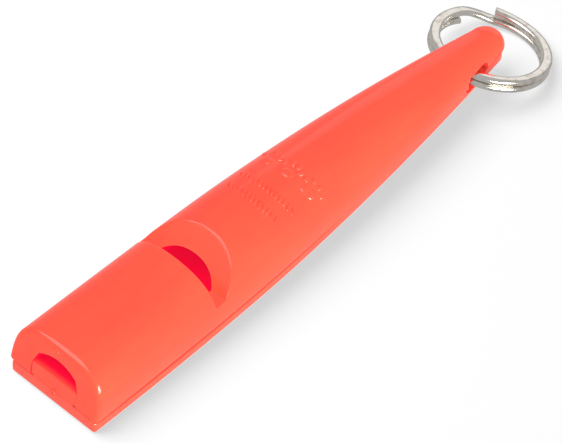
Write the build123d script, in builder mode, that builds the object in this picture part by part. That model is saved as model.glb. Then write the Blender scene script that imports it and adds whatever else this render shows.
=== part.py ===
from build123d import *
from math import cos, radians, sin, tan
import os

# Training whistle: two plastic mouldings welded edge to edge, and a split ring through the tail.
# X runs from the mouth to the tail, Y is across, Z is up. The origin is in the middle of the
# flat underside. All sizes are in millimetres.

os.makedirs("parts", exist_ok=True)

# Whole whistle
length = 84.2
seam_height = 2.45                # where the upper shell meets the base plate
front_slope = 0.22                # how far the front face leans back, per unit of height

# Barrel: distance from the mouth, half width, crown height, squareness of the arch
# (0.55 is an ellipse, 1 nearly a box)
barrel_stations = [
    (-1.0, 8.02, 9.58, 0.81),
    (10.8, 7.98, 9.57, 0.75),
    (22.6, 7.90, 9.60, 0.68),
    (34.4, 7.56, 9.43, 0.66),
    (46.2, 6.88, 8.63, 0.66),
    (58.0, 5.84, 7.47, 0.68),
    (69.8, 4.38, 6.08, 0.70),
    (81.6, 2.60, 4.42, 0.71),      # the tip is this last arch turned about its own middle
]
front_rounding = 0.7

# Window: an upright face at the end of the beak, a narrow floor and a ramp up to the barrel
window_distance = 22.7
window_floor = 5.55
ramp_foot_height = 4.15           # height where the ramp's plane meets the upright face
ramp_angle = 39.8
window_rounding = 0.25
window_tool_top = 20.0            # clear above the barrel
tool_reach = 12.0                 # clear past both sides

# Windway through the beak
windway_half_width = 4.1
windway_sill = 4.55               # top of the tongue at the mouth
windway_shoulder = (3.35, 6.45)   # half width and height where the roof begins
windway_crown = 7.55
windway_exit_gap = 1.0            # air slit over the end of the tongue

# Tone chamber and hollow handle, both closed below by the base plate
# (distance from the mouth, half width, crown height at each end)
tone_chamber = [(21.6, 5.9, 7.35), (50.0, 4.9, 6.55)]
handle_pocket = [(52.0, 4.5, 6.15), (71.0, 2.5, 4.15)]
hollow_squareness = 0.66

# Base plate: distance from the mouth and half width of its edge
plate_stations = [
    (0.0, 7.60), (12.0, 7.68), (24.0, 7.54), (36.0, 7.14), (48.0, 6.30), (60.0, 5.12), (72.0, 3.62),
]
plate_end = 83.95
plate_tip_radius = 2.25
ledge_height = 1.85               # the groove under the shell begins here
groove_depth = 0.5
plate_bottom_rounding = 0.45
ledge_rounding = 0.25

# Tongue, moulded on the base plate, fills the shell's front notch
tongue_clearance = 0.05
tongue_end = 21.5
tongue_end_sill = 4.05
tongue_front_crown = 0.1

# Cross slot for the ring
slot_start = 74.3
slot_end = 79.0
slot_floor = 0.76
slot_top = 3.75
slot_rounding = 0.8

# Split ring: one flat wire wound twice, its two ends either side of the crossing
ring_outer_radius = 8.5
wire_width = 1.5
wire_thickness = 1.0
coil_gap = 0.06
wire_rounding = 0.35
ring_tilt = 20.0                  # the far side hangs below the slot
ring_wire_height = 2.5            # height of the wire's middle inside the slot
ring_wire_distance = 75.9
ring_sideways = 0.5               # the ring lies a little off the middle of the slot
upper_end_angle = 32.0            # where the upper coil's free end is, round the ring from its far side
lower_end_angle = 75.0            # where the lower coil's free end is
crossing_sections = 6             # sections that carry the wire from the upper coil to the lower


def along(distance):
    """X of a place that lies at this distance behind the mouth."""
    return distance - length / 2


def arch_section(distance, half_width, crown, squareness):
    """Sketch an arch across the whistle: upright at its feet, level at its crown."""
    rise = crown - seam_height
    with BuildSketch(Plane.YZ.offset(along(distance))) as section:
        with BuildLine():
            Bezier((half_width, seam_height), (half_width, seam_height + squareness * rise),
                   (squareness * half_width, crown), (0, crown))
            Bezier((0, crown), (-squareness * half_width, crown),
                   (-half_width, seam_height + squareness * rise), (-half_width, seam_height))
            Line((-half_width, seam_height), (half_width, seam_height))
        make_face()
    return section.sketch


def plate_outline(inset, height):
    """Sketch the plate seen from above at this height, drawn inside its edge by the inset."""
    side = [(along(d), w - inset) for d, w in plate_stations]
    tip_centre = plate_end - plate_tip_radius
    tip = plate_tip_radius - inset
    shoulder_angle = 70
    shoulder = (along(tip_centre) + tip * cos(radians(shoulder_angle)), tip * sin(radians(shoulder_angle)))
    tip_slope = (sin(radians(shoulder_angle)), -cos(radians(shoulder_angle)))
    with BuildSketch(Plane.XY.offset(height)) as outline:
        with BuildLine():
            upper = Spline(side + [shoulder], tangents=[(1, 0.01), tip_slope])
            lower = mirror(upper, about=Plane.XZ)
            ThreePointArc(shoulder, (along(tip_centre) + tip, 0), (shoulder[0], -shoulder[1]))
            Line(side[0], (side[0][0], -side[0][1]))
        make_face()
    return outline.sketch


def slot_profile():
    """Sketch the cross slot seen from the side."""
    with BuildSketch(Plane.XZ) as profile:
        with Locations((along((slot_start + slot_end) / 2), (slot_floor + slot_top) / 2)):
            RectangleRounded(slot_end - slot_start, slot_top - slot_floor, slot_rounding)
    return profile.sketch


def tongue_section(distance, sill, crown):
    """Sketch the tongue across the whistle, with its foot sunk into the plate."""
    half_width = windway_half_width - tongue_clearance
    foot = ledge_height
    with BuildSketch(Plane.YZ.offset(along(distance))) as section:
        with BuildLine():
            Polyline((half_width, sill), (half_width, foot), (-half_width, foot), (-half_width, sill))
            ThreePointArc((-half_width, sill), (0, crown), (half_width, sill))
        make_face()
    return section.sketch


front_plane = Plane(origin=(along(0), 0, seam_height), z_dir=(-1, 0, front_slope))

# Upper shell: barrel, windway roof, window, tone chamber and hollow handle
with BuildPart() as upper_shell:
    loft([arch_section(*station) for station in barrel_stations])
    split(bisect_by=front_plane, keep=Keep.BOTTOM)

    last_distance = barrel_stations[-1][0]
    last_arch = arch_section(*barrel_stations[-1])
    half_arch = split(last_arch, bisect_by=Plane.XZ, keep=Keep.TOP, mode=Mode.PRIVATE)
    revolve(half_arch, axis=Axis((along(last_distance), 0, 0), (0, 0, 1)), revolution_arc=180)

    front_face = upper_shell.faces().sort_by(Axis.X)[0]
    front_arch = front_face.edges().filter_by(lambda edge: edge.center().Z > seam_height + 1)
    fillet(front_arch, front_rounding)

    with BuildSketch(Plane.XZ):
        with BuildLine():
            ramp_start, ramp_end = (
                along(window_distance) + (height - ramp_foot_height) / tan(radians(ramp_angle))
                for height in (window_floor, window_tool_top)
            )
            Polyline((along(window_distance), window_floor), (along(window_distance), window_tool_top),
                     (ramp_end, window_tool_top), (ramp_start, window_floor), close=True)
        make_face()
    extrude(amount=tool_reach, both=True, mode=Mode.SUBTRACT)
    ramp = upper_shell.faces().filter_by(GeomType.PLANE).sort_by(
        lambda face: abs(face.normal_at().Z - cos(radians(ramp_angle))) + abs(face.normal_at().Y))[0]
    window_rim = ramp.edges().filter_by(lambda edge: edge.center().Z > window_floor + 0.5)
    fillet(window_rim, window_rounding)

    with BuildSketch(Plane.YZ.offset(along(-1))):
        roof_y, roof_z = windway_shoulder
        with BuildLine():
            Polyline((roof_y, roof_z), (windway_half_width, windway_sill), (windway_half_width, 0),
                     (-windway_half_width, 0), (-windway_half_width, windway_sill), (-roof_y, roof_z))
            ThreePointArc((-roof_y, roof_z), (0, windway_crown), (roof_y, roof_z))
        make_face()
    extrude(amount=window_distance + 1, mode=Mode.SUBTRACT)

    for hollow in (tone_chamber, handle_pocket):
        loft([arch_section(*end, hollow_squareness) for end in hollow], mode=Mode.SUBTRACT)
    extrude(slot_profile(), amount=tool_reach, both=True, mode=Mode.SUBTRACT)
upper_shell.part.label = "upper_shell"
export_step(upper_shell.part, "parts/upper_shell.step")

# Base plate with the tongue
with BuildPart() as base_plate:
    extrude(plate_outline(0.0, 0.0), amount=ledge_height)
    fillet(base_plate.faces().sort_by(Axis.Z)[0].edges(), plate_bottom_rounding)
    fillet(base_plate.faces().sort_by(Axis.Z)[-1].edges(), ledge_rounding)
    extrude(plate_outline(groove_depth, ledge_height), amount=seam_height - ledge_height)
    loft([
        tongue_section(0, windway_sill, windway_sill + tongue_front_crown),
        tongue_section(tongue_end, tongue_end_sill, windway_crown - windway_exit_gap),
    ])
    split(bisect_by=front_plane, keep=Keep.BOTTOM)
    extrude(slot_profile(), amount=tool_reach, both=True, mode=Mode.SUBTRACT)
base_plate.part.label = "base_plate"
export_step(base_plate.part, "parts/base_plate.step")

# Split ring
tilt = radians(ring_tilt)
wire_radius = ring_outer_radius - wire_width / 2
ring_centre = (
    along(ring_wire_distance) + wire_radius * cos(tilt), ring_sideways, ring_wire_height - wire_radius * sin(tilt),
)
ring_plane = Plane(origin=ring_centre, x_dir=(cos(tilt), 0, -sin(tilt)), z_dir=(sin(tilt), 0, cos(tilt)))
ring_axis = Axis(ring_plane.origin, ring_plane.z_dir)
coil_level = (wire_thickness + coil_gap) / 2


def wire_plane(angle, level):
    """Plane across the wire at this angle round the ring, at this height over its middle."""
    radial = Vector(cos(radians(angle)), sin(radians(angle)), 0)
    tangent = Vector(-sin(radians(angle)), cos(radians(angle)), 0)
    origin = ring_plane.from_local_coords(radial * wire_radius + Vector(0, 0, level))
    return Plane(origin=origin, x_dir=ring_plane.from_local_coords(radial) - ring_plane.origin,
                 z_dir=ring_plane.from_local_coords(tangent) - ring_plane.origin)


def wire_section(angle, level):
    """Sketch the wire's section at this place."""
    with BuildSketch(wire_plane(angle, level)) as section:
        RectangleRounded(wire_width, wire_thickness, wire_rounding)
    return section.sketch


with BuildPart() as split_ring:
    coil_arc = 360 - (lower_end_angle - upper_end_angle)
    for level in (coil_level, -coil_level):
        revolve(wire_section(lower_end_angle, level), axis=ring_axis, revolution_arc=coil_arc)
    shares = [step / (crossing_sections - 1) for step in range(crossing_sections)]
    loft([
        wire_section(lower_end_angle + (upper_end_angle - lower_end_angle) * share,
                     coil_level * cos(radians(180 * share)))
        for share in shares
    ])
split_ring.part.label = "split_ring"
export_step(split_ring.part, "parts/split_ring.step")
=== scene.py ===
"""Training whistle: a glossy orange shell welded on a flat plate, with a nickel split ring.

Distances along the whistle run from the mouth to the tail in millimetres, as the maker's drawing
gives them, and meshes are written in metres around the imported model.
"""

import logging
import math
from dataclasses import dataclass, field
from enum import Enum
from typing import Sequence

import bmesh
import bpy
import numpy as np
from mathutils import Matrix, Vector


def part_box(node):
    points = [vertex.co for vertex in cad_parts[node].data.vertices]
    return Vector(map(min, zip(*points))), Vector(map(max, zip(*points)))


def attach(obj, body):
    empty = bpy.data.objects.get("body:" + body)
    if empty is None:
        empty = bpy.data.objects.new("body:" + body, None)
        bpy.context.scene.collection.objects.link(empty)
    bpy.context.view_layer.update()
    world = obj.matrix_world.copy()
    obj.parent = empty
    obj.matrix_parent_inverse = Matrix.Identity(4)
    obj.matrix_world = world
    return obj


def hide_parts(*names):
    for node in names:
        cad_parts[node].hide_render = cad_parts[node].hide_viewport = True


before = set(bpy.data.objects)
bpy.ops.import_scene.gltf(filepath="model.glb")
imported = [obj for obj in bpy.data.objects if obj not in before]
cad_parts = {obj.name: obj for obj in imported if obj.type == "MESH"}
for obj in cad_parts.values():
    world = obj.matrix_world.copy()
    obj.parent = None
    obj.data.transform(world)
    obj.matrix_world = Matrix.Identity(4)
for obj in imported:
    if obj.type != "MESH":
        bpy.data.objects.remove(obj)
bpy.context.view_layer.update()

LOG = logging.getLogger("whistle")
MM = 0.001
WELD = 1e-7


class Body(str, Enum):
    """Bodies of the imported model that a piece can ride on."""

    WHISTLE = "whistle"
    RING = "ring"


class Slot(str, Enum):
    """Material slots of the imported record."""

    PLASTIC = "orange_plastic"
    NICKEL = "nickel_steel"


# ---------------------------------------------------------------------------------------------
# Shader arithmetic
# ---------------------------------------------------------------------------------------------
class Wire:
    """One number-carrying socket, so that shader maths reads as ordinary arithmetic."""

    def __init__(self, shader: "Shader", socket: bpy.types.NodeSocket) -> None:
        """Hold a socket and the shader that it belongs to."""
        self.shader = shader
        self.socket = socket

    def _math(self, operation: str, *values: "Wire | float") -> "Wire":
        """Add one Math node over these values and return its output."""
        return self.shader.node("ShaderNodeMath", {"operation": operation}, dict(enumerate(values)))

    def __add__(self, other: "Wire | float") -> "Wire":
        """Return self + other."""
        return self._math("ADD", self, other)

    def __radd__(self, other: float) -> "Wire":
        """Return other + self."""
        return self._math("ADD", other, self)

    def __sub__(self, other: "Wire | float") -> "Wire":
        """Return self - other."""
        return self._math("SUBTRACT", self, other)

    def __rsub__(self, other: float) -> "Wire":
        """Return other - self."""
        return self._math("SUBTRACT", other, self)

    def __mul__(self, other: "Wire | float") -> "Wire":
        """Return self * other."""
        return self._math("MULTIPLY", self, other)

    def __rmul__(self, other: float) -> "Wire":
        """Return other * self."""
        return self._math("MULTIPLY", other, self)

    def ramp(self, start: float, end: float) -> "Wire":
        """Return a smooth step of self: 0 at start, 1 at end.

        Args:
            start: Value that gives 0.
            end: Value that gives 1; it may be the smaller one.

        Returns:
            The stepped value, held between 0 and 1.
        """
        low, high = min(start, end), max(start, end)
        step = self.shader.node(
            "ShaderNodeMapRange",
            {"interpolation_type": "SMOOTHSTEP", "clamp": True},
            {"Value": self, "From Min": low, "From Max": high},
        )
        return step if start < end else 1 - step


class Shader:
    """A material under construction, with one method that adds any node.

    A Mix node repeats its sockets for each kind of value, so its colour ones go by number.
    """

    FIRST_COLOUR, SECOND_COLOUR, MIXED_COLOUR = 6, 7, 2

    def __init__(self, name: str) -> None:
        """Start an empty node material of this name."""
        self.material = bpy.data.materials.new(name)
        self.material.use_nodes = True
        self.tree = self.material.node_tree
        self.tree.nodes.clear()

    def node(self, kind: str, settings: dict | None = None, values: dict | None = None,
             output: int | str = 0) -> Wire:
        """Add a node, set it up and feed its sockets.

        Args:
            kind: Blender's type name of the node.
            settings: Properties set before the sockets.
            values: Socket name or number to a constant or to a Wire.
            output: Name or number of the output to return.

        Returns:
            The chosen output as a Wire.
        """
        node = self.tree.nodes.new(kind)
        for key, value in (settings or {}).items():
            setattr(node, key, value)
        for key, value in (values or {}).items():
            if isinstance(value, Wire):
                self.tree.links.new(value.socket, node.inputs[key])
            else:
                node.inputs[key].default_value = value
        return Wire(self, node.outputs[output] if node.outputs else None)

    def noise(self, where: Wire, scale: float, detail: float = 2.0, roughness: float = 0.5) -> Wire:
        """Return a noise value, about 0.5 on average, at this scale per metre."""
        return self.node("ShaderNodeTexNoise", {"noise_dimensions": "3D"},
                         {"Vector": where, "Scale": scale, "Detail": detail, "Roughness": roughness})

    def mix(self, share: Wire | float, first: Wire | tuple, second: Wire | tuple) -> Wire:
        """Return a colour that is first where share is 0 and second where share is 1."""
        return self.node("ShaderNodeMix", {"data_type": "RGBA"},
                         {"Factor": share, self.FIRST_COLOUR: first, self.SECOND_COLOUR: second},
                         output=self.MIXED_COLOUR)

    def bump(self, height: Wire, distance: float, strength: float) -> Wire:
        """Return the normal of a surface raised by this height times a distance in metres."""
        return self.node("ShaderNodeBump", None,
                         {"Strength": strength, "Distance": distance, "Height": height})

    def finish(self, surface: Wire) -> bpy.types.Material:
        """Connect the surface shader and return the material."""
        self.node("ShaderNodeOutputMaterial", None, {"Surface": surface})
        return self.material


# ---------------------------------------------------------------------------------------------
# Finishes
# ---------------------------------------------------------------------------------------------
@dataclass(frozen=True)
class GlowPlastic:
    """Fluorescent orange moulding: saturated, glossy, a little translucent, with faint flow marks. Its
    emission is painted glow that stands in for fluorescence and light through the plastic, and a darker
    crimson colour paints the shade of hollows.
    """

    name: str
    base: tuple[float, float, float, float] = (1.0, 0.080, 0.040, 1.0)
    flow: tuple[float, float, float, float] = (1.0, 0.068, 0.037, 1.0)
    # Painted glow: emission colour and strength that stand in for fluorescence and light through the
    # plastic.
    painted_glow: tuple[float, float, float, float] = (1.0, 0.055, 0.030, 1.0)
    painted_glow_strength: float = 0.12
    # Painted shade: the crimson of shaded hollows, laid on between two places along X.
    painted_shade: tuple[float, float, float, float] = (0.86, 0.0012, 0.030, 1.0)
    painted_shade_start: float = 1e9
    painted_shade_end: float = 2e9
    roughness: float = 0.14
    streak_scale: float = 260.0
    handling_scale: float = 420.0
    handling_spread: float = 0.16
    peel_scale: float = 1500.0
    peel_height: float = 0.000004

    def build(self) -> bpy.types.Material:
        """Make the material.

        Returns:
            A material whose colour turns from base to a crimson painted shade between the shade's start and
            end, two places along X in metres, with painted glow as its emission, and whose gloss and surface
            vary finely.
        """
        shader = Shader(self.name)
        place = shader.node("ShaderNodeTexCoord", output="Object")
        along = shader.node("ShaderNodeSeparateXYZ", None, {"Vector": place}, output="X")
        stretched = shader.node("ShaderNodeMapping", None, {"Vector": place, "Scale": (0.25, 1.0, 1.0)})
        streaks = shader.noise(stretched, self.streak_scale, 3.0, 0.55)
        # Share of painted shade along X: 0 before its start, 1 after its end.
        inner = along.ramp(self.painted_shade_start, self.painted_shade_end)
        skin = shader.mix(streaks.ramp(0.30, 0.72), self.base, self.flow)
        colour = shader.mix(inner, skin, self.painted_shade)
        # The painted glow turns crimson where shade is painted.
        painted_glow = shader.mix(inner, self.painted_glow, self.painted_shade)
        handling = shader.noise(place, self.handling_scale, 4.0, 0.6)
        roughness = self.roughness + (handling - 0.5) * self.handling_spread
        bump = shader.bump(shader.noise(place, self.peel_scale), self.peel_height, 0.35)
        # Its emission is painted glow; the plastic is no lamp.
        surface = shader.node("ShaderNodeBsdfPrincipled", None, {
            "Base Color": colour, "Roughness": roughness, "Normal": bump, "IOR": 1.49,
            "Subsurface Weight": 0.25, "Subsurface Radius": (1.0, 0.22, 0.12), "Subsurface Scale": 0.0012,
            "Coat Weight": 0.10, "Coat Roughness": 0.06,
            "Emission Color": painted_glow, "Emission Strength": self.painted_glow_strength,
        })
        return shader.finish(surface)


@dataclass(frozen=True)
class NickelWire:
    """Bright nickel on spring steel: fine draw lines along the wire, rub marks and a warm tarnish."""

    name: str = "nickel_wire"
    bright: tuple[float, float, float, float] = (0.80, 0.765, 0.715, 1.0)
    tarnish: tuple[float, float, float, float] = (0.60, 0.545, 0.485, 1.0)
    roughness: float = 0.13
    rub_scale: float = 900.0
    rub_dulling: float = 0.10
    line_stretch: tuple[float, float, float] = (3.0, 60.0, 1.0)
    line_spread: float = 0.04
    line_height: float = 0.0000003

    def build(self) -> bpy.types.Material:
        """Make the material.

        Returns:
            A metal that reads the wire's own UV map: U along the wire, V round it.
        """
        shader = Shader(self.name)
        where = shader.node("ShaderNodeUVMap", {"uv_map": "wire"})
        place = shader.node("ShaderNodeTexCoord", output="Object")
        lines_at = shader.node("ShaderNodeMapping", None, {"Vector": where, "Scale": self.line_stretch})
        lines = shader.noise(lines_at, 3.0, 4.0, 0.6)
        rubs = shader.noise(place, self.rub_scale, 4.0, 0.65)
        colour = shader.mix(rubs.ramp(0.46, 0.70), self.bright, self.tarnish)
        worn = rubs.ramp(0.5, 0.75) * self.rub_dulling
        roughness = self.roughness + worn + (lines - 0.5) * self.line_spread
        bump = shader.bump(lines, self.line_height, 0.3)
        surface = shader.node("ShaderNodeBsdfPrincipled", None, {
            "Base Color": colour, "Roughness": roughness, "Normal": bump, "Metallic": 1.0,
        })
        return shader.finish(surface)


@dataclass(frozen=True)
class PaleSweep:
    """Matt white studio paper that gives off a little light of its own, to stay white."""

    name: str = "pale_sweep"
    lift: float = 0.19
    colour: tuple[float, float, float, float] = (0.90, 0.90, 0.90, 1.0)
    grain_scale: float = 900.0
    grain_height: float = 0.00002

    def build(self) -> bpy.types.Material:
        """Make the material.

        Returns:
            The paper's material, with a very fine grain.
        """
        shader = Shader(self.name)
        place = shader.node("ShaderNodeTexCoord", output="Object")
        bump = shader.bump(shader.noise(place, self.grain_scale), self.grain_height, 0.1)
        surface = shader.node("ShaderNodeBsdfPrincipled", None, {
            "Base Color": self.colour, "Roughness": 0.9, "Specular IOR Level": 0.1, "Normal": bump,
            "Emission Color": self.colour, "Emission Strength": self.lift,
        })
        return shader.finish(surface)


# ---------------------------------------------------------------------------------------------
# Surfaces
# ---------------------------------------------------------------------------------------------
def grid_faces(rows: int, columns: int, closed: bool = False, first: int = 0) -> np.ndarray:
    """Number the quads of a grid of points.

    Args:
        rows: Points along the first parameter.
        columns: Points along the second parameter.
        closed: Whether the last column joins the first.
        first: Number of the grid's first point.

    Returns:
        Quads as an array of four point numbers each.
    """
    spans = columns if closed else columns - 1
    row, column = np.meshgrid(np.arange(rows - 1), np.arange(spans), indexing="ij")
    here = (row * columns + column).ravel()
    right = (row * columns + (column + 1) % columns).ravel()
    return first + np.stack([here, right, right + columns, here + columns], axis=1)


def new_piece(name: str, points: np.ndarray, faces: Sequence,
              material: bpy.types.Material) -> bpy.types.Object:
    """Make an object from points in millimetres, with doubles merged and normals outwards.

    Args:
        name: Name of the piece.
        points: Array of points, in millimetres.
        faces: Faces as sequences of point numbers.
        material: Its finish.

    Returns:
        The linked object, at the origin.
    """
    mesh = bpy.data.meshes.new(name)
    mesh.from_pydata(points.reshape(-1, 3) * MM, [], [list(face) for face in faces])
    shape = bmesh.new()
    shape.from_mesh(mesh)
    bmesh.ops.remove_doubles(shape, verts=shape.verts, dist=WELD)
    bmesh.ops.dissolve_degenerate(shape, edges=shape.edges, dist=WELD)
    bmesh.ops.recalc_face_normals(shape, faces=shape.faces)
    shape.to_mesh(mesh)
    shape.free()
    mesh.materials.append(material)
    piece = bpy.data.objects.new(name, mesh)
    bpy.context.scene.collection.objects.link(piece)
    return piece


def lofted(name: str, sections: np.ndarray, material: bpy.types.Material) -> bpy.types.Object:
    """Make a closed solid through closed sections, with a flat face at each end.

    Args:
        name: Name of the solid.
        sections: Points in millimetres, with the section first and the place round it second.
        material: Its finish.

    Returns:
        The linked object, at the origin.
    """
    rows, columns, _ = sections.shape
    quads = grid_faces(rows, columns, closed=True).tolist()
    ends = [list(range(columns)), list(range((rows - 1) * columns, rows * columns))]
    return new_piece(name, sections, quads + ends, material)


def superellipse(angle: np.ndarray, flatness: float) -> tuple[np.ndarray, np.ndarray]:
    """Work out a curve between a circle, at flatness 2, and a square.

    Each coordinate is the circle's, raised to 2 / flatness with its sign kept.

    Args:
        angle: Place round the curve.
        flatness: 2 or more.

    Returns:
        The two coordinates, each from -1 to 1.
    """
    power = 2 / flatness
    along = np.sign(np.cos(angle)) * np.abs(np.cos(angle)) ** power
    across = np.sign(np.sin(angle)) * np.abs(np.sin(angle)) ** power
    return along, across


def combine(piece: bpy.types.Object, others: Sequence[bpy.types.Object], operation: str) -> None:
    """Cut other solids out of a piece, or add them to it, and remove them.

    Args:
        piece: The piece whose mesh is changed.
        others: Closed solids.
        operation: Blender's name for it, DIFFERENCE or UNION.
    """
    for other in others:
        modifier = piece.modifiers.new("combine", "BOOLEAN")
        modifier.operation = operation
        modifier.solver = "EXACT"
        modifier.material_mode = "TRANSFER"
        modifier.object = other
    result = bpy.data.meshes.new_from_object(piece.evaluated_get(bpy.context.evaluated_depsgraph_get()))
    piece.modifiers.clear()
    old = piece.data
    piece.data = result
    bpy.data.meshes.remove(old)
    for other in others:
        bpy.data.objects.remove(other)


def shade(piece: bpy.types.Object, crease: float = 32.0) -> None:
    """Shade a piece smoothly, but for its sharp edges.

    Args:
        piece: The piece.
        crease: Turn between two faces, in degrees, past which their edge is sharp.
    """
    mesh = piece.data
    mesh.polygons.foreach_set("use_smooth", np.ones(len(mesh.polygons), bool))
    mesh.set_sharp_from_angle(angle=math.radians(crease))
    mesh.update()


def settle(piece: bpy.types.Object, body: Body, slot: Slot, *nodes: str) -> None:
    """Let a finished piece ride on a body and stand for CAD nodes.

    The piece isn't seen by bounced light, so the orange doesn't tint the paper round it.

    Args:
        piece: The piece.
        body: The body that carries it.
        slot: Its material slot in the record; not used.
        nodes: CAD nodes that it replaces.
    """
    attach(piece, body.value)
    if nodes:
        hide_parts(*nodes)
    piece.visible_diffuse = False
    LOG.info("%s: %d faces, rides on %s", piece.name, len(piece.data.polygons), body.value)


def cubic_through(places: np.ndarray, values: np.ndarray, at: np.ndarray) -> np.ndarray:
    """Read a natural cubic spline.

    The second derivatives at the places solve the usual three-term system, and are zero at both
    ends; between two places the curve is the cubic that has them.

    Args:
        places: Increasing parameters.
        values: Value at each place.
        at: Where to read it, of any shape.

    Returns:
        The spline's values, in the shape of at.
    """
    gaps = np.diff(places)
    slopes = np.diff(values) / gaps
    inner = len(places) - 2
    system = np.diag(2 * (gaps[:-1] + gaps[1:])) + np.diag(gaps[1:-1], 1) + np.diag(gaps[1:-1], -1)
    bend = np.zeros(inner + 2)
    bend[1:-1] = np.linalg.solve(system, 6 * np.diff(slopes))
    span = np.clip(np.searchsorted(places, at) - 1, 0, inner)
    gap, after = gaps[span], at - places[span]
    before = gap - after
    return ((bend[span] * before ** 3 + bend[span + 1] * after ** 3) / (6 * gap)
            + (values[span] / gap - bend[span] * gap / 6) * before
            + (values[span + 1] / gap - bend[span + 1] * gap / 6) * after)


def arch(half_width: np.ndarray, crown: np.ndarray, squareness: np.ndarray, floor: float,
         turn: np.ndarray) -> tuple[np.ndarray, np.ndarray, np.ndarray, np.ndarray]:
    """Work out points of an arch across the whistle.

    Each half is a cubic curve that leaves its foot upright and reaches the crown level. Its two
    inner control points lie at squareness times the rise and at squareness times the half width.

    Args:
        half_width: Half width at the feet.
        crown: Height of the crown.
        squareness: 0.55 for an ellipse, 1 for nearly a box.
        floor: Height of the feet.
        turn: -1 at the right foot, 0 at the crown, 1 at the left foot.

    Returns:
        Y and Z of the points, then Y and Z of the outward normals.
    """
    t, side = 1 - np.abs(turn), np.where(turn < 0, -1.0, 1.0)
    s, k, rise = 1 - t, squareness, crown - floor
    y = half_width * (s ** 3 + 3 * s * s * t + 3 * k * s * t * t)
    z = floor + rise * (3 * k * s * s * t + 3 * s * t * t + t ** 3)
    dy = half_width * (-3 * s * s + 3 * (s * s - 2 * s * t) + 3 * k * (2 * s * t - t * t))
    dz = rise * (3 * k * (s * s - 2 * s * t) + 3 * (2 * s * t - t * t) + 3 * t * t)
    size = np.maximum(np.hypot(dy, dz), 1e-9)
    return side * y, z, side * dz / size, -dy / size


# ---------------------------------------------------------------------------------------------
# The two mouldings
# ---------------------------------------------------------------------------------------------
@dataclass
class Drawing:
    """Sizes that both mouldings share, in millimetres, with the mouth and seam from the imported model."""

    mouth: float = field(init=False)
    seam: float = field(init=False)
    front_slope: float = 0.22
    window: float = 22.7
    window_floor: float = 5.55
    ramp_start: float = 24.38
    ramp_angle: float = 39.8
    windway_half_width: float = 4.1
    windway_sill: float = 4.55
    windway_shoulder: tuple[float, float] = (3.35, 6.45)
    windway_crown: float = 7.55
    slot_box: tuple[float, float, float, float] = (74.5, 79.0, 0.78, 3.82)
    slot_rounding: float = 0.8
    slot_reach: float = 12.0

    def __post_init__(self) -> None:
        """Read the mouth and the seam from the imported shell."""
        shell_low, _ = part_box("upper_shell")
        self.mouth = shell_low.x / MM
        self.seam = shell_low.z / MM

    def front(self, z: np.ndarray) -> np.ndarray:
        """Return X of the front face at this height: upright up to the seam, leaning back above it."""
        return self.mouth + self.front_slope * np.maximum(z - self.seam, 0)

    def slot_cutter(self, material: bpy.types.Material) -> bpy.types.Object:
        """Make the solid that cuts the ring's slot: a rectangle with round corners, carried across.

        Args:
            material: The material that its walls leave in the slot, darker with painted shade.

        Returns:
            The solid.
        """
        start, end, low, high = self.slot_box
        r = self.slot_rounding
        angles = np.radians(np.arange(0, 360, 10.0) + 5)
        corner_x = np.where(np.cos(angles) > 0, end - r, start + r)
        corner_z = np.where(np.sin(angles) > 0, high - r, low + r)
        x = self.mouth + corner_x + r * np.cos(angles)
        z = corner_z + r * np.sin(angles)
        sides = [np.stack([x, np.full_like(x, y), z], axis=1) for y in (-self.slot_reach, self.slot_reach)]
        return lofted("slot_cutter", np.array(sides), material)


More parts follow.
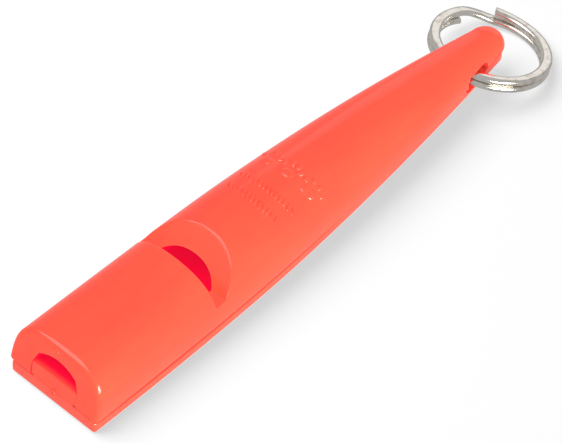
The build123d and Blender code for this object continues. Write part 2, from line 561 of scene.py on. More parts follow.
@dataclass
class UpperShell:
    """The arched moulding: beak with its windway, window and ramp, barrel, round tail and hollows."""

    drawing: Drawing
    outside: bpy.types.Material
    # The inside and slot materials carry painted shade, and the inside painted glow too.
    inside: bpy.types.Material
    slot_shade: bpy.types.Material
    stations: tuple[tuple[float, float, float, float], ...] = (
        (-1.0, 8.02, 9.58, 0.81), (10.8, 7.98, 9.57, 0.75), (22.6, 7.90, 9.60, 0.68),
        (34.4, 7.56, 9.43, 0.66), (46.2, 6.88, 8.63, 0.66), (58.0, 5.84, 7.47, 0.68),
        (69.8, 4.38, 6.08, 0.70), (81.6, 2.60, 4.42, 0.71),
    )
    chamber: tuple[tuple[float, float, float], ...] = ((21.6, 5.9, 7.35), (50.0, 4.9, 6.55))
    pocket: tuple[tuple[float, float, float], ...] = ((52.0, 4.5, 6.15), (71.0, 2.5, 4.15))
    front_rounding: float = 0.7
    lip_rounding: float = 0.16
    lip_fade: float = 0.8
    rim_rounding: float = 0.16
    foot_rounding: float = 0.14
    hollow_squareness: float = 0.66
    hollow_sink: float = 1.0
    windway_lead: float = 3.0
    windway_stop: float = 0.2
    upper_columns: int = 36
    lower_columns: int = 12

    def sizes(self, distance: np.ndarray) -> tuple[np.ndarray, ...]:
        """Read the half width, the crown's height and the squareness at these distances."""
        table = np.array(self.stations)
        return tuple(cubic_through(table[:, 0], column, distance) for column in table.T[1:])

    def section(self, distance: np.ndarray, turn: np.ndarray, inset: np.ndarray | float = 0.0) -> np.ndarray:
        """Work out points of the barrel.

        Args:
            distance: Distance from the mouth, for each point.
            turn: Place round the arch, from -1 to 1.
            inset: How far inside the surface the point lies.

        Returns:
            Points as X, Y, Z in the last axis.
        """
        y, z, normal_y, normal_z = arch(*self.sizes(distance), self.drawing.seam, turn)
        near_foot = np.clip((z - self.drawing.seam) / self.foot_rounding, 0, 1)
        tuck = self.foot_rounding * (1 - np.sqrt(1 - (1 - near_foot) ** 2))
        y = y - np.sign(turn) * tuck
        return np.stack([self.drawing.mouth + distance + 0 * y, y - inset * normal_y,
                         np.maximum(z - inset * normal_z, self.drawing.seam)], axis=-1)

    def columns(self) -> np.ndarray:
        """Choose places round the arch: crowded at the feet, with one exactly at the window's floor.

        Returns:
            Places from -1 to 1.
        """
        fine = np.linspace(0, 1, 4001)
        height = self.section(np.full_like(fine, self.drawing.window), fine)[:, 2]
        foot_turn = np.interp(-self.drawing.window_floor, -height, fine)
        upper = np.linspace(0, foot_turn, self.upper_columns)
        lower_share = np.linspace(0, 1, self.lower_columns + 1)[1:]
        tuck_turn = np.interp(-(self.drawing.seam + self.foot_rounding), -height, fine)
        lower = foot_turn + (tuck_turn - foot_turn) * lower_share
        tucked = tuck_turn + (1 - tuck_turn) * np.array([0.3, 0.6, 0.85, 1.0])
        half = np.concatenate([upper, lower, tucked])
        return np.concatenate([-half[:0:-1], half])

    def front_rows(self, turn: np.ndarray) -> list[np.ndarray]:
        """Work out the front face, from its middle to a quarter circle round its edge.

        Args:
            turn: Places round the arch.

        Returns:
            Rows of points.
        """
        d, r = self.drawing, self.front_rounding

        def leaning(points: np.ndarray, shift: float) -> np.ndarray:
            """Move a row onto the leaning front face, or behind it."""
            moved = points.copy()
            moved[:, 0] = d.front(moved[:, 2]) + shift
            return moved

        rows = []
        edge = self.section(np.zeros_like(turn), turn, r)
        for share in (0.0, 0.35, 0.7, 0.9):
            shrunk = edge * share
            shrunk[:, 2] = d.seam + (edge[:, 2] - d.seam) * share
            rows.append(leaning(shrunk, 0.0))
        for angle in np.radians(np.linspace(90, 0, 9)):
            inset, shift = r * (1 - math.cos(angle)), r * (1 - math.sin(angle))
            rows.append(leaning(self.section(np.full_like(turn, shift), turn, inset), shift))
        return rows

    def beak_rows(self, turn: np.ndarray) -> list[np.ndarray]:
        """Work out the beak, its rounded lip, its upright end and the window's floor.

        Below the floor's height the rows simply follow the barrel.

        Args:
            turn: Places round the arch.

        Returns:
            Rows of points; the last is the foot of the ramp.
        """
        d = self.drawing
        rows = []
        start = d.front(self.section(np.zeros_like(turn), turn)[:, 2]) - d.mouth + self.front_rounding
        z_end = self.section(np.full_like(turn, d.window), turn)[:, 2]
        lip = self.lip_rounding * np.clip((z_end - d.window_floor) / self.lip_fade, 0, 1)
        for share in np.linspace(0, 1, 26)[1:]:
            rows.append(self.section(start + (d.window - lip - start) * share, turn))
        for angle in np.radians(np.linspace(0, 90, 5)[1:]):
            shift, inset = lip * (1 - math.sin(angle)), lip * (1 - math.cos(angle))
            rows.append(self.section(d.window - shift, turn, inset))
        top = rows[-1]
        down = top.copy()
        down[:, 2] = np.minimum(top[:, 2], d.window_floor)
        rows += [top + (down - top) * share for share in (0.35, 0.7, 1.0)]
        is_open = (top[:, 2] > d.window_floor)[:, None]
        for share in (0.33, 0.67, 1.0):
            place = d.window + (d.ramp_start - d.window) * share
            across = np.column_stack([np.full_like(turn, d.mouth + place), down[:, 1:]])
            rows.append(np.where(is_open, across, self.section(np.full_like(turn, place), turn)))
        return rows

    def ramp_rows(self, turn: np.ndarray, foot: np.ndarray) -> tuple[list[np.ndarray], np.ndarray]:
        """Work out the ramp up to its rim, and the rim's round.

        The rim lies where the barrel meets the ramp's plane, found by repeated substitution. Its
        round is a quadratic curve from the ramp to the barrel, with the rim as its middle point.

        Args:
            turn: Places round the arch.
            foot: The row at the ramp's foot.

        Returns:
            Rows of points, and the distance where the barrel goes on, for each place.
        """
        d = self.drawing
        rise = math.tan(math.radians(d.ramp_angle))
        distance = np.full_like(turn, d.ramp_start)
        for _ in range(12):
            rim = self.section(distance, turn)
            distance = d.ramp_start + np.maximum(rim[:, 2] - d.window_floor, 0) / rise
        rim = self.section(distance, turn)
        climb = np.linalg.norm(rim - foot, axis=1)
        rounding = np.minimum(self.rim_rounding, 0.4 * climb)
        share_back = np.where(climb > 1e-9, rounding / np.maximum(climb, 1e-9), 0)[:, None]
        ramp_end = rim + (foot - rim) * share_back
        rows = [foot + (ramp_end - foot) * share for share in np.linspace(0, 1, 13)[1:]]
        barrel_start = distance + rounding
        after = self.section(barrel_start, turn)
        rows += [(1 - share) ** 2 * ramp_end + 2 * share * (1 - share) * rim + share ** 2 * after
                 for share in (0.25, 0.5, 0.75, 1.0)]
        return rows, barrel_start

    def rows(self, turn: np.ndarray) -> np.ndarray:
        """Work out the skin as rows from the middle of the front face to the last arch of the barrel.

        Args:
            turn: Places round the arch.

        Returns:
            Points with the row first, the place round the arch second.
        """
        rows = self.front_rows(turn) + self.beak_rows(turn)
        ramp, start = self.ramp_rows(turn, rows[-1])
        last = self.stations[-1][0]
        barrel = [self.section(start + (last - start) * share, turn) for share in np.linspace(0, 1, 66)[1:]]
        return np.array(rows + ramp + barrel)

    def skin(self) -> bpy.types.Object:
        """Make the closed skin: the rows, the turned tail, and the flat underside.

        Returns:
            The solid shell before its hollows are cut.
        """
        turn = self.columns()
        rows = self.rows(turn)
        count, width, _ = rows.shape
        half = rows[-1, width // 2:]
        azimuth = np.radians(np.linspace(0, 180, 41))[:, None]
        radius = half[:, 1]
        last_x = rows[-1, 0, 0]
        tail = np.stack([last_x + radius * np.sin(azimuth), radius * np.cos(azimuth),
                         np.broadcast_to(half[:, 2], (len(azimuth), len(half)))], axis=-1)
        points = np.concatenate([rows.reshape(-1, 3), tail.reshape(-1, 3)])
        faces = grid_faces(count, width).tolist()
        faces += grid_faces(len(azimuth), len(half), first=count * width).tolist()
        right = np.arange(count) * width
        left = right + width - 1
        faces += np.stack([right[:-1], right[1:], left[1:], left[:-1]], axis=1).tolist()
        foot = count * width + np.arange(len(azimuth)) * len(half) + len(half) - 1
        middle = len(foot) // 2
        near, far = foot[:middle + 1], foot[::-1][:middle + 1]
        faces += np.stack([near[:-1], near[1:], far[1:], far[:-1]], axis=1).tolist()
        return new_piece("shell", points, faces, self.outside)

    def hollow(self, name: str, ends: Sequence[tuple[float, float, float]]) -> bpy.types.Object:
        """Make the solid of a hollow between two arches, sunk a little below the seam.

        Args:
            name: Name of the solid.
            ends: Distance from the mouth, half width and crown of each arch.

        Returns:
            The solid.
        """
        seam = self.drawing.seam
        below = seam - self.hollow_sink
        turn = np.linspace(-1, 1, 49)
        sections = []
        for distance, half_width, crown in ends:
            y, z, _, _ = arch(np.float64(half_width), np.float64(crown), self.hollow_squareness, seam, turn)
            outline = np.array([*zip(y, z), (half_width, below), (-half_width, below)])
            sections.append(np.column_stack([np.full(len(outline), self.drawing.mouth + distance), outline]))
        return lofted(name, np.array(sections), self.inside)

    def windway(self) -> bpy.types.Object:
        """Make the solid of the windway: upright sides, slanting shoulders and an arched roof.

        Returns:
            The solid, from ahead of the mouth to just short of the window.
        """
        d = self.drawing
        roof_y, roof_z = d.windway_shoulder
        rise = d.windway_crown - roof_z
        radius = (roof_y ** 2 + rise ** 2) / (2 * rise)
        reach = math.asin(roof_y / radius)
        angle = np.linspace(-reach, reach, 31)
        roof = np.stack([radius * np.sin(angle), d.windway_crown - radius + radius * np.cos(angle)], axis=1)
        side = np.array([[d.windway_half_width, height]
                         for height in (d.windway_sill, d.seam - self.hollow_sink)])
        outline = np.concatenate([roof, side, side[::-1] * [-1, 1]])
        sections = [np.column_stack([np.full(len(outline), d.mouth + distance), outline])
                    for distance in (-self.windway_lead, d.window - self.windway_stop)]
        return lofted("windway", np.array(sections), self.inside)

    def build(self) -> bpy.types.Object:
        """Make the shell and cut its windway, tone chamber, handle pocket and ring slot.

        Returns:
            The finished shell.
        """
        shell = self.skin()
        hollows = [self.windway(), self.hollow("chamber", self.chamber), self.hollow("pocket", self.pocket)]
        combine(shell, hollows + [self.drawing.slot_cutter(self.slot_shade)], "DIFFERENCE")
        shade(shell)
        settle(shell, Body.WHISTLE, Slot.PLASTIC, "upper_shell")
        return shell


@dataclass
class BasePlate:
    """The flat moulding: a ledge with a soft edge, a groove under the shell, and the tongue."""

    drawing: Drawing
    outside: bpy.types.Material
    # The slot, groove and tongue materials are darker with painted shade.
    slot_shade: bpy.types.Material
    groove_shade: bpy.types.Material
    tongue_shade: bpy.types.Material
    stations: tuple[tuple[float, float], ...] = (
        (0.0, 7.60), (12.0, 7.68), (24.0, 7.54), (36.0, 7.14), (48.0, 6.30), (60.0, 5.12), (72.0, 3.62),
    )
    tip_shoulder: float = 70.0
    tip_radius: float = 2.25
    ledge_height: float = 1.85
    groove_depth: float = 0.5
    bottom_rounding: float = 0.45
    ledge_rounding: float = 0.4
    seam_step: float = 0.2
    # Band on the ledge's round that takes the groove's painted shade.
    ledge_shade_band: float = 0.28
    corner_radius: float = 0.5
    corner_gap: float = 0.3
    front_share: float = 0.6
    tongue_clearance: float = 0.09
    front_recess: float = 0.008
    tongue_foot: float = 1.2
    tongue_end: float = 21.5
    tongue_end_sill: float = 4.05
    tongue_front_crown: float = 0.1
    windway_exit_gap: float = 1.0
    top_margin: float = 0.01
    # Where the groove's painted shade starts behind the mouth.
    groove_shade_start: float = 1.0
    # Where the tongue's painted shade starts on the plate's top.
    tongue_shade_start: float = 2.0
    facing_up: float = 0.3

    def outline(self) -> np.ndarray:
        """Work out half of the plate's edge, from the mouth to the middle of the tail.

        The front corner is a quarter circle, and the side is a spline through the stations that
        runs into the tail's arc at its shoulder.

        Returns:
            Points as distance from the mouth and half width.
        """
        shoulder = math.radians(self.tip_shoulder)
        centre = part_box("base_plate")[1].x / MM - self.drawing.mouth - self.tip_radius
        joint = (centre + self.tip_radius * math.cos(shoulder), self.tip_radius * math.sin(shoulder))
        table = np.array([*self.stations, joint])
        step = np.hypot(*np.diff(table, axis=0).T)
        place = np.concatenate([[0], np.cumsum(step)])
        fine = np.linspace(0, place[-1], 90)
        side = np.stack([cubic_through(place, column, fine) for column in table.T], axis=1)
        angle = np.linspace(shoulder, 0, 15)[1:]
        tip = np.stack([centre + self.tip_radius * np.cos(angle), self.tip_radius * np.sin(angle)], axis=1)
        r = self.corner_radius
        side = side[side[:, 0] > r + self.corner_gap]
        angle = np.radians(np.linspace(0, 90, 9))
        corner_y = np.interp(r, table[:, 0], table[:, 1]) - r
        corner = np.stack([r * (1 - np.cos(angle)), corner_y + r * np.sin(angle)], axis=1)
        front = [[0.0, corner_y * share] for share in (0.0, 0.5, 0.9)]
        return np.concatenate([front, corner, side, tip])

    def level(self, inset: float, height: float, recess: float) -> np.ndarray:
        """Work out the closed outline at this height.

        Args:
            inset: Distance inside the edge.
            height: Height above the underside.
            recess: Distance that the front lies behind its edge.

        Returns:
            Points of the closed outline.
        """
        half = self.outline()
        direction = np.gradient(half, axis=0)
        direction /= np.linalg.norm(direction, axis=1)[:, None]
        normal = np.stack([-direction[:, 1], direction[:, 0]], axis=1)
        shift = inset * normal
        in_front = (normal[:, 0] < 0) & (half[:, 0] < 2 * self.corner_radius)
        shift[:, 0] = np.where(in_front, recess * normal[:, 0], shift[:, 0])
        moved = half - shift
        moved[0, 1] = moved[-1, 1] = 0.0
        left = np.column_stack([self.drawing.mouth + moved[:, 0], moved[:, 1], np.full(len(moved), height)])
        right = left[::-1][1:-1] * [1, -1, 1]
        return np.concatenate([left, right])

    def plate(self) -> bpy.types.Object:
        """Make the plate as outlines stacked from the underside to the seam.

        Both edges of the ledge are quarter circles.

        Returns:
            The solid plate.
        """
        b, t, h = self.bottom_rounding, self.ledge_rounding, self.ledge_height
        bottom = [(b * (1 - math.sin(a)), b * (1 - math.cos(a))) for a in np.radians(np.linspace(0, 90, 7))]
        top = [(t * (1 - math.cos(a)), h - t * (1 - math.sin(a))) for a in np.radians(np.linspace(0, 90, 6))]
        levels = [self.level(inset, height, self.front_share * inset) for inset, height in bottom]
        levels += [self.level(inset, height, 0.0) for inset, height in top]
        seam = self.drawing.seam
        levels += [self.level(self.groove_depth, height, 0.0) for height in (h, seam - self.seam_step)]
        levels += [self.level(self.groove_depth, seam, self.seam_step)]
        return lofted("plate", np.array(levels), self.outside)

    def tongue(self) -> bpy.types.Object:
        """Make the tongue that fills the shell's notch and floors the windway.

        Its top is a parabola across, whose sill and crown change steadily from the mouth to its end.

        Returns:
            The solid tongue, with its foot sunk into the plate.
        """
        d = self.drawing
        half_width = d.windway_half_width - self.tongue_clearance
        across = np.linspace(1, -1, 25)
        top_y = half_width * across
        front_crown = d.windway_sill + self.tongue_front_crown
        sections = []
        for share in np.linspace(0, 1, 22):
            sill = d.windway_sill + (self.tongue_end_sill - d.windway_sill) * share
            crown = front_crown + (d.windway_crown - self.windway_exit_gap - front_crown) * share
            top_z = sill + (crown - sill) * (1 - across ** 2)
            y = np.concatenate([top_y, [-half_width, half_width]])
            z = np.concatenate([top_z, [self.tongue_foot, self.tongue_foot]])
            start = d.front(z) + self.front_recess
            x = start + (d.mouth + self.tongue_end - start) * share
            sections.append(np.stack([x, y, z], axis=1))
        return lofted("tongue", np.array(sections), self.outside)

    def build(self) -> bpy.types.Object:
        """Make the plate with its tongue and cut the ring slot.

        Returns:
            The finished base plate.
        """
        plate = self.plate()
        combine(plate, [self.tongue()], "UNION")
        combine(plate, [self.drawing.slot_cutter(self.slot_shade)], "DIFFERENCE")
        self.dress(plate)
        shade(plate)
        settle(plate, Body.WHISTLE, Slot.PLASTIC, "base_plate")
        return plate

    def in_groove_shade(self, centres: np.ndarray) -> np.ndarray:
        """Tell which face centres take the groove's painted shade: in the groove, on the ledge's round or in
        the front's seam step.

        Args:
            centres: Face centres as a flat array in metres.

        Returns:
            One boolean for each face.
        """
        x, y, z = centres[::3] / MM, np.abs(centres[1::3]) / MM, centres[2::3] / MM
        beside = y > self.drawing.windway_half_width
        behind = x > self.drawing.mouth + self.groove_shade_start
        stepped = z > self.drawing.seam - self.seam_step
        under = z < self.drawing.seam - self.top_margin
        return under & ((behind & (z > self.ledge_height - self.ledge_shade_band)) | (beside & stepped))

    def dress(self, plate: bpy.types.Object) -> None:
        """Paint shade into the groove, and shade and glow onto the tongue's top and the plate's top inside
        the shell, with darker materials.

        Args:
            plate: The plate with its tongue.
        """
        mesh = plate.data
        groove = len(mesh.materials)
        mesh.materials.append(self.groove_shade)
        mesh.materials.append(self.tongue_shade)
        count = len(mesh.polygons)
        centres, normals, slots = np.empty(count * 3), np.empty(count * 3), np.empty(count, np.int32)
        mesh.polygons.foreach_get("center", centres)
        mesh.polygons.foreach_get("normal", normals)
        mesh.polygons.foreach_get("material_index", slots)
        # Painted shade in the groove.
        slots[self.in_groove_shade(centres)] = groove
        # Painted shade and glow on the tongue's top and the plate's top inside the shell.
        high = centres[2::3] > (self.drawing.seam - self.top_margin) * MM
        inner = centres[::3] > (self.drawing.mouth + self.tongue_shade_start) * MM
        slots[high & (inner | (normals[2::3] > self.facing_up))] = groove + 1
        mesh.polygons.foreach_set("material_index", slots)


# ---------------------------------------------------------------------------------------------
# The split ring
# ---------------------------------------------------------------------------------------------
@dataclass
class SplitRing:
    """One springy flat wire wound nearly twice, its two ends either side of the crossing."""

    finish: bpy.types.Material
    outer_radius: float = 8.5
    wire_width: float = 1.5
    wire_thickness: float = 1.0
    coil_gap: float = 0.06
    flatness: float = 2.5
    tilt: float = 20.0
    upper_end: float = 36.5
    lower_end: float = 75.0
    crossing_end: float = 32.0
    end_lift: float = 0.22
    lower_end_drop: float = 0.11
    end_spread: float = 0.16
    end_length: float = 40.0
    end_taper: tuple[float, ...] = (0.55, 0.82, 0.95)
    end_push: tuple[float, ...] = (0.05, 0.02, 0.0)
    steps: int = 420
    around: int = 32

    def centre(self) -> np.ndarray:
        """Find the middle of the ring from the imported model's box, in millimetres."""
        low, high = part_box("split_ring")
        return np.array((low + high) / 2) / MM

    def path(self) -> tuple[np.ndarray, np.ndarray, np.ndarray]:
        """Work out the wire's middle line.

        The angle falls steadily from the upper free end to the lower one. The height is that of the
        upper coil, then of the lower, and passes between them along half a cosine at the crossing.
        Near each end the wire stands off its neighbour by a square law.

        Returns:
            Angle in radians, radius and height over the ring's middle plane, for each step.
        """
        angle = np.linspace(360 + self.upper_end, self.lower_end - 360, self.steps)
        level = (self.wire_thickness + self.coil_gap) / 2
        crossing = np.clip((self.lower_end - angle) / (self.lower_end - self.crossing_end), 0, 1)
        height = level * np.cos(np.pi * crossing)
        upper_tip = np.clip(1 - (360 + self.upper_end - angle) / self.end_length, 0, 1) ** 2
        lower_tip = np.clip(1 - (angle - self.lower_end + 360) / self.end_length, 0, 1) ** 2
        height = height + self.end_lift * upper_tip - self.lower_end_drop * lower_tip
        radius = self.outer_radius - self.wire_width / 2 + self.end_spread * (upper_tip - lower_tip)
        return np.radians(angle), radius, height

    def build(self) -> bpy.types.Object:
        """Sweep the wire's flattened section along its path, with a chamfered cut at each end.

        Returns:
            The ring, with a UV map named wire: U along it and V round it.
        """
        ends = len(self.end_taper)
        angle, radius, height = (np.pad(row, ends, mode="edge") for row in self.path())
        scale = np.concatenate([self.end_taper, np.ones(self.steps), self.end_taper[::-1]])
        push = np.concatenate([self.end_push, np.zeros(self.steps), -np.array(self.end_push[::-1])])
        round_it = np.linspace(0, 2 * np.pi, self.around, endpoint=False)
        width, thick = superellipse(round_it, self.flatness)
        out = radius[:, None] + scale[:, None] * self.wire_width / 2 * width
        up = height[:, None] + scale[:, None] * self.wire_thickness / 2 * thick
        flat = np.stack([out * np.cos(angle)[:, None], out * np.sin(angle)[:, None], up], axis=-1)
        tangent = np.stack([-np.sin(angle), np.cos(angle), 0 * angle], axis=1)
        flat = flat + (push[:, None] * tangent)[:, None, :]
        ring = lofted("ring_wire", flat @ self.lean().T + self.centre(), self.finish)
        self.map_wire(ring)
        shade(ring, 50.0)
        settle(ring, Body.RING, Slot.NICKEL, "split_ring")
        return ring

    def lean(self) -> np.ndarray:
        """Work out the matrix that tilts the ring's plane down at its far side."""
        tilt = math.radians(self.tilt)
        cos, sin = math.cos(tilt), math.sin(tilt)
        return np.array([[cos, 0, sin], [0, 1, 0], [-sin, 0, cos]])

    def map_wire(self, ring: bpy.types.Object) -> None:
        """Give the ring its UV map: U is the angle round the ring, V the angle round the wire.

        Args:
            ring: The finished wire.
        """
        mesh = ring.data
        corners = np.empty(len(mesh.loops), np.int32)
        mesh.loops.foreach_get("vertex_index", corners)
        points = np.empty(len(mesh.vertices) * 3)
        mesh.vertices.foreach_get("co", points)
        local = (points.reshape(-1, 3) / MM - self.centre()) @ self.lean()
        along = np.arctan2(local[:, 1], local[:, 0])
        out = np.hypot(local[:, 0], local[:, 1]) - (self.outer_radius - self.wire_width / 2)
        round_it = np.arctan2(local[:, 2] - np.sign(local[:, 2]) * self.wire_thickness / 2, out)
        layer = mesh.uv_layers.new(name="wire")
        layer.data.foreach_set("uv", np.stack([along, round_it], axis=1)[corners].ravel())


# ---------------------------------------------------------------------------------------------
# Relief on the barrel
# ---------------------------------------------------------------------------------------------
@dataclass
class Relief:
    """Low raised marks on the barrel: a row of paw prints, and two rows of slanting strokes."""

    shell: UpperShell
    height: float = 0.18
    sink: float = 0.10
    pad_edge: float = 5.0
    pad_flatness: float = 2.6
    spokes: int = 24
    rings: int = 7
    paw_row: float = 44.3
    paw_pitch: float = 3.8
    paw_size: float = 1.9
    stroke_rows: tuple[tuple[float, int], ...] = ((39.6, 14), (36.9, 13))
    stroke_pitch: float = 0.72
    stroke: tuple[float, float, float] = (0.66, 0.15, 24.0)

    def surface(self, distance: np.ndarray, across: np.ndarray) -> tuple[np.ndarray, np.ndarray]:
        """Find points of the barrel over a place in plan, by halving the interval round the arch.

        Args:
            distance: Distance from the mouth.
            across: Y of the point.

        Returns:
            The points, and the outward normals.
        """
        near, far = np.zeros_like(across), np.ones_like(across)
        drawing = self.shell.drawing
        sizes = self.shell.sizes(distance)
        for _ in range(30):
            middle = (near + far) / 2
            y, _, _, _ = arch(*sizes, drawing.seam, middle)
            outside = y < np.abs(across)
            near, far = np.where(outside, middle, near), np.where(outside, far, middle)
        y, z, normal_y, normal_z = arch(*sizes, drawing.seam, near)
        side = np.sign(across)
        points = np.stack([drawing.mouth + distance, y * side, z], axis=-1)
        normals = np.stack([0 * y, normal_y * side, normal_z], axis=-1)
        return points, normals

    def pads(self, spots: np.ndarray) -> tuple[np.ndarray, list]:
        """Work out many low pads at once.

        Each is a superellipse in plan that rises from under the skin to a nearly flat top.

        Args:
            spots: Rows of distance, y, half length, half breadth, turn in degrees.

        Returns:
            Points of all pads, and their faces.
        """
        angle = np.linspace(0, 2 * np.pi, self.spokes, endpoint=False)
        share = np.linspace(0, 1, self.rings)[1:]
        local = share[:, None, None] * np.stack(superellipse(angle, self.pad_flatness), axis=1)
        turn = np.radians(spots[:, 4])[:, None, None]
        along = local[None, ..., 0] * spots[:, 2, None, None]
        aside = local[None, ..., 1] * spots[:, 3, None, None]
        distance = spots[:, 0, None, None] + along * np.cos(turn) - aside * np.sin(turn)
        across = spots[:, 1, None, None] + along * np.sin(turn) + aside * np.cos(turn)
        points, normals = self.surface(distance, across)
        rise = (self.height + self.sink) * (1 - share ** self.pad_edge) - self.sink
        points = points + normals * rise[None, :, None, None]
        middle, middle_normal = self.surface(spots[:, 0], spots[:, 1])
        middle = middle + middle_normal * self.height
        each = 1 + (self.rings - 1) * self.spokes
        faces = []
        for number in range(len(spots)):
            first = number * each
            faces += grid_faces(self.rings - 1, self.spokes, closed=True, first=first + 1).tolist()
            rim = first + 1 + np.arange(self.spokes)
            faces += np.stack([np.full(self.spokes, first), rim, np.roll(rim, -1)], axis=1).tolist()
        block = np.concatenate([middle[:, None, :], points.reshape(len(spots), -1, 3)], axis=1)
        return block.reshape(-1, 3), faces

    def paw(self, distance: float, y: float, size: float) -> list[tuple]:
        """List the pads of one paw print: a broad heel and four toes that fan towards the tail.

        Args:
            distance: Distance of its middle from the mouth.
            y: Where its middle lies across.
            size: Its scale.

        Returns:
            Spots for pads.
        """
        heel = [(distance - 0.42 * size, y, 0.46 * size, 0.62 * size, 0.0)]
        fan = ((0.18, 0.74, 28), (0.52, 0.27, 8), (0.52, -0.27, -8), (0.18, -0.74, -28))
        return heel + [(distance + along * size, y + aside * size, 0.30 * size, 0.19 * size, turn)
                       for along, aside, turn in fan]

    def build(self, finish: bpy.types.Material) -> bpy.types.Object:
        """Make all the raised marks as one piece.

        Args:
            finish: Their material.

        Returns:
            The marks.
        """
        spots: list[tuple] = []
        for y in (-self.paw_pitch, 0.0, self.paw_pitch):
            spots += self.paw(self.paw_row, y, self.paw_size)
        for row, marks in self.stroke_rows:
            spots += [(row, (step - (marks - 1) / 2) * self.stroke_pitch, *self.stroke)
                      for step in range(marks)]
        points, faces = self.pads(np.array(spots))
        piece = new_piece("relief_marks", points, faces, finish)
        shade(piece, 60.0)
        settle(piece, Body.WHISTLE, Slot.PLASTIC)
        return piece


@dataclass
class MouldMarks:
    """Two small raised rings that ejector pins leave on the front: one on the shell, one on the tongue."""

    drawing: Drawing
    ring_radius: float = 0.38
    bead: float = 0.13
    places: tuple[tuple[float, float], ...] = ((0.6, 8.62), (0.0, 1.95))
    steps: int = 36
    around: int = 12

    def build(self, finish: bpy.types.Material) -> bpy.types.Object:
        """Make both rings as one piece: a small circle carried round a larger one, half sunk.

        Args:
            finish: Their material.

        Returns:
            The rings.
        """
        turn, bead_turn = np.meshgrid(np.linspace(0, 2 * np.pi, self.steps, endpoint=False),
                                      np.linspace(0, 2 * np.pi, self.around, endpoint=False), indexing="ij")
        points, faces = [], []
        wrap = grid_faces(self.steps + 1, self.around, closed=True) % (self.steps * self.around)
        for number, (y, z) in enumerate(self.places):
            out = self.ring_radius + self.bead * np.cos(bead_turn)
            height = z + out * np.sin(turn)
            x = self.drawing.front(height) - self.bead * np.sin(bead_turn)
            points.append(np.stack([x, y + out * np.cos(turn), height], axis=-1).reshape(-1, 3))
            faces += (wrap + number * self.steps * self.around).tolist()
        piece = new_piece("mould_marks", np.concatenate(points), faces, finish)
        shade(piece, 60.0)
        settle(piece, Body.WHISTLE, Slot.PLASTIC)
        return piece


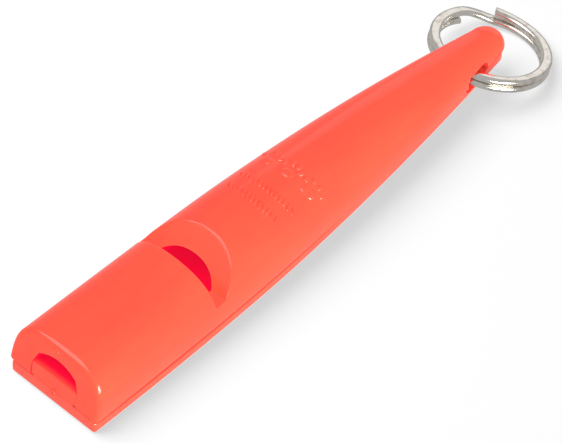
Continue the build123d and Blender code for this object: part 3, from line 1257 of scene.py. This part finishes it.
# ---------------------------------------------------------------------------------------------
# Studio
# ---------------------------------------------------------------------------------------------
@dataclass
class Studio:
    """Pale paper that the whistle lies on, soft lights, and the camera."""

    lens: float = 587.5
    sensor: float = 36.0
    range_mm: float = 1200.0
    aim: tuple[float, float, float] = (-1.80, -2.074, 3.306)
    azimuth: float = 223.0296
    elevation: float = 51.0907
    roll: float = 1.1858
    paper_reach: float = 0.9
    paper_gap: float = 0.00002
    ring_rest_inset: float = 0.0008
    room_strength: float = 0.5

    def camera(self) -> None:
        """Place the camera and make it the scene's.

        It looks back along the direction of its azimuth and elevation, and is rolled about that.
        """
        azimuth, elevation, roll = np.radians([self.azimuth, self.elevation, self.roll])
        level = math.cos(elevation)
        back = np.array([math.cos(azimuth) * level, math.sin(azimuth) * level, math.sin(elevation)])
        across = np.array([-math.sin(azimuth), math.cos(azimuth), 0.0])
        right = across * math.cos(roll) + np.cross(back, across) * math.sin(roll)
        up = np.cross(back, right)
        place = (np.array(self.aim) + back * self.range_mm) * MM
        data = bpy.data.cameras.new("camera")
        data.lens, data.sensor_width = self.lens, self.sensor
        data.clip_start, data.clip_end = 0.1, 5.0
        camera = bpy.data.objects.new("camera", data)
        matrix = np.eye(4)
        matrix[:3] = np.stack([right, up, back, place], axis=1)
        camera.matrix_world = Matrix(matrix.tolist())
        bpy.context.scene.collection.objects.link(camera)
        bpy.context.scene.camera = camera

    def floor(self, finish: bpy.types.Material) -> bpy.types.Object:
        """Lay the paper under the mouth's lower edge and the hanging side of the ring.

        Args:
            finish: The paper's material.

        Returns:
            The paper, which glossy surfaces don't mirror.
        """
        plate_low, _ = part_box("base_plate")
        ring_low, ring_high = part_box("split_ring")
        slope = ring_low.z / (ring_high.x - self.ring_rest_inset - plate_low.x)
        step = np.linspace(-self.paper_reach, self.paper_reach, 3)
        x, y = np.meshgrid(step, step, indexing="ij")
        z = (x - plate_low.x) * slope - self.paper_gap
        points = np.stack([x, y, z], axis=-1) / MM
        paper = new_piece("paper", points, grid_faces(3, 3).tolist(), finish)
        if paper.data.polygons[0].normal.z < 0:
            paper.data.flip_normals()
        paper.visible_glossy = False
        return paper

    @staticmethod
    def spare(lamp: bpy.types.Object, thing: bpy.types.Object) -> None:
        """Keep a lamp's light, and so its shadows, off one thing.

        Args:
            lamp: The lamp.
            thing: The object that it doesn't light.
        """
        spared = bpy.data.collections.new(lamp.name + "_spares")
        spared.objects.link(thing)
        spared.collection_objects[0].light_linking.link_state = "EXCLUDE"
        lamp.light_linking.receiver_collection = spared

    @staticmethod
    def light(name: str, direction: tuple[float, float, float], distance: float, size: tuple[float, float],
              radiance: float, colour: tuple[float, float, float] = (1.0, 1.0, 1.0)) -> bpy.types.Object:
        """Hang a softbox that faces the whistle.

        Args:
            name: Name of the light.
            direction: Where it hangs, seen from the whistle.
            distance: How far away, in metres.
            size: Its two sides in metres.
            radiance: Brightness of its face.
            colour: Its colour.

        Returns:
            The lamp.
        """
        data = bpy.data.lights.new(name, "AREA")
        data.shape, data.size, data.size_y = "RECTANGLE", size[0], size[1]
        data.energy = radiance * math.pi * size[0] * size[1]
        data.color = colour
        lamp = bpy.data.objects.new(name, data)
        where = Vector(direction).normalized()
        lamp.matrix_world = (Matrix.Translation(where * distance)
                             @ where.to_track_quat("Z", "Y").to_matrix().to_4x4())
        bpy.context.scene.collection.objects.link(lamp)
        return lamp

    def build(self, finish: bpy.types.Material) -> None:
        """Make the camera, the paper, the room light and the softboxes.

        Args:
            finish: The paper's material.
        """
        self.camera()
        paper = self.floor(finish)
        world = bpy.data.worlds.new("room")
        world.use_nodes = True
        background = world.node_tree.nodes["Background"]
        background.inputs["Color"].default_value = (1.0, 1.0, 1.0, 1.0)
        background.inputs["Strength"].default_value = self.room_strength
        bpy.context.scene.world = world
        self.light("overhead", (-0.25, 0.37, 0.95), 0.6, (0.5, 0.5), 2.6)
        side = self.light("side", (-0.20, -0.93, 0.27), 0.6, (0.42, 0.24), 17.0, (1.0, 0.97, 0.85))
        self.spare(side, paper)
        self.light("far_card", (0.852, 0.429, 0.301), 0.9, (0.8, 0.5), 0.52, (1.0, 0.97, 0.93))
        bpy.context.scene.view_settings.view_transform = "Standard"


def main() -> None:
    """Build every piece in order and write how large the visual model is."""
    logging.basicConfig(level=logging.INFO, format="%(name)s: %(message)s")
    # The outside's emission is a faint painted glow.
    outside = GlowPlastic("orange_outside").build()
    # Painted shade: the hollows' walls are crimson all over, with stronger painted glow.
    inside = GlowPlastic("orange_inside_painted_shade", painted_shade_start=-1.0, painted_shade_end=-0.9, painted_glow_strength=0.45).build()
    # Painted shade: darker walls in the ring's slot.
    slot_shade = GlowPlastic("orange_slot_painted_shade", base=(0.95, 0.05, 0.03, 1.0),
                            flow=(0.92, 0.045, 0.03, 1.0)).build()
    # Painted shade: darker orange in the groove under the shell's edge.
    groove = GlowPlastic("orange_groove_painted_shade", base=(0.66, 0.026, 0.02, 1.0), flow=(0.62, 0.022, 0.018, 1.0),
                         painted_glow_strength=0.05).build()
    nickel = NickelWire().build()
    Studio().build(PaleSweep().build())
    drawing = Drawing()
    # Painted shade and glow: the tongue turns crimson inside the windway, behind the mouth.
    tongue = GlowPlastic("orange_tongue_painted_shade", painted_shade_start=(drawing.mouth + 0.1) * MM,
                         painted_shade_end=(drawing.mouth + 1.6) * MM, painted_glow_strength=0.35).build()
    shell = UpperShell(drawing, outside, inside, slot_shade)
    shell.build()
    BasePlate(drawing, outside, slot_shade, groove, tongue).build()
    SplitRing(nickel).build()
    Relief(shell).build(outside)
    MouldMarks(drawing).build(outside)


if __name__ == "__main__":
    main()
